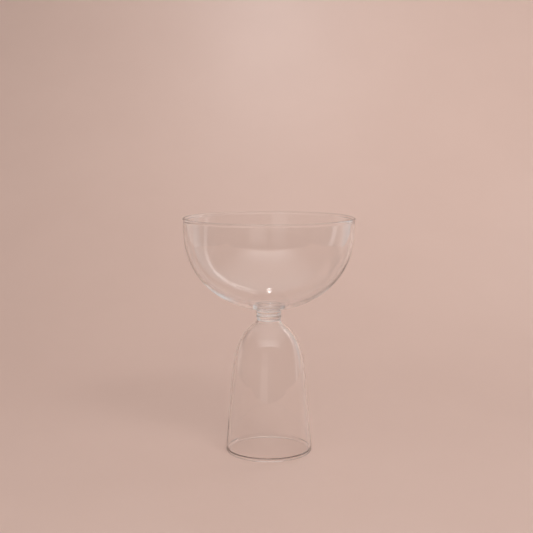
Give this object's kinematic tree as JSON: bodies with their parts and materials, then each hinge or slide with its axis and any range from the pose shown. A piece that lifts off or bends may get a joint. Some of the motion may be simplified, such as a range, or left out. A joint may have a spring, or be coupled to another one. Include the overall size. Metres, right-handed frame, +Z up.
{
  "type": "coupe glass",
  "caption": "Clear thin-walled coupe glass: a round-bottomed bowl on a short ringed neck and a hollow bell-shaped foot that is open underneath.",
  "frame": {"origin": "centre of the foot's resting edge, on the table", "axes": "+Z up along the common turning axis, from the foot to the rim; X and Y are across the glass and equal"},
  "size_m": [0.1, 0.1, 0.138],
  "materials": {
    "bowl_glass": "clear, fire-polished",
    "neck_glass": "clear, fire-polished, solid",
    "foot_glass": "clear, fire-polished"
  },
  "bodies": {
    "root": {"bowl": "bowl_glass", "upper_neck_ring": "neck_glass", "lower_neck_ring": "neck_glass", "bell_foot": "foot_glass"}
  },
  "joints": []
}
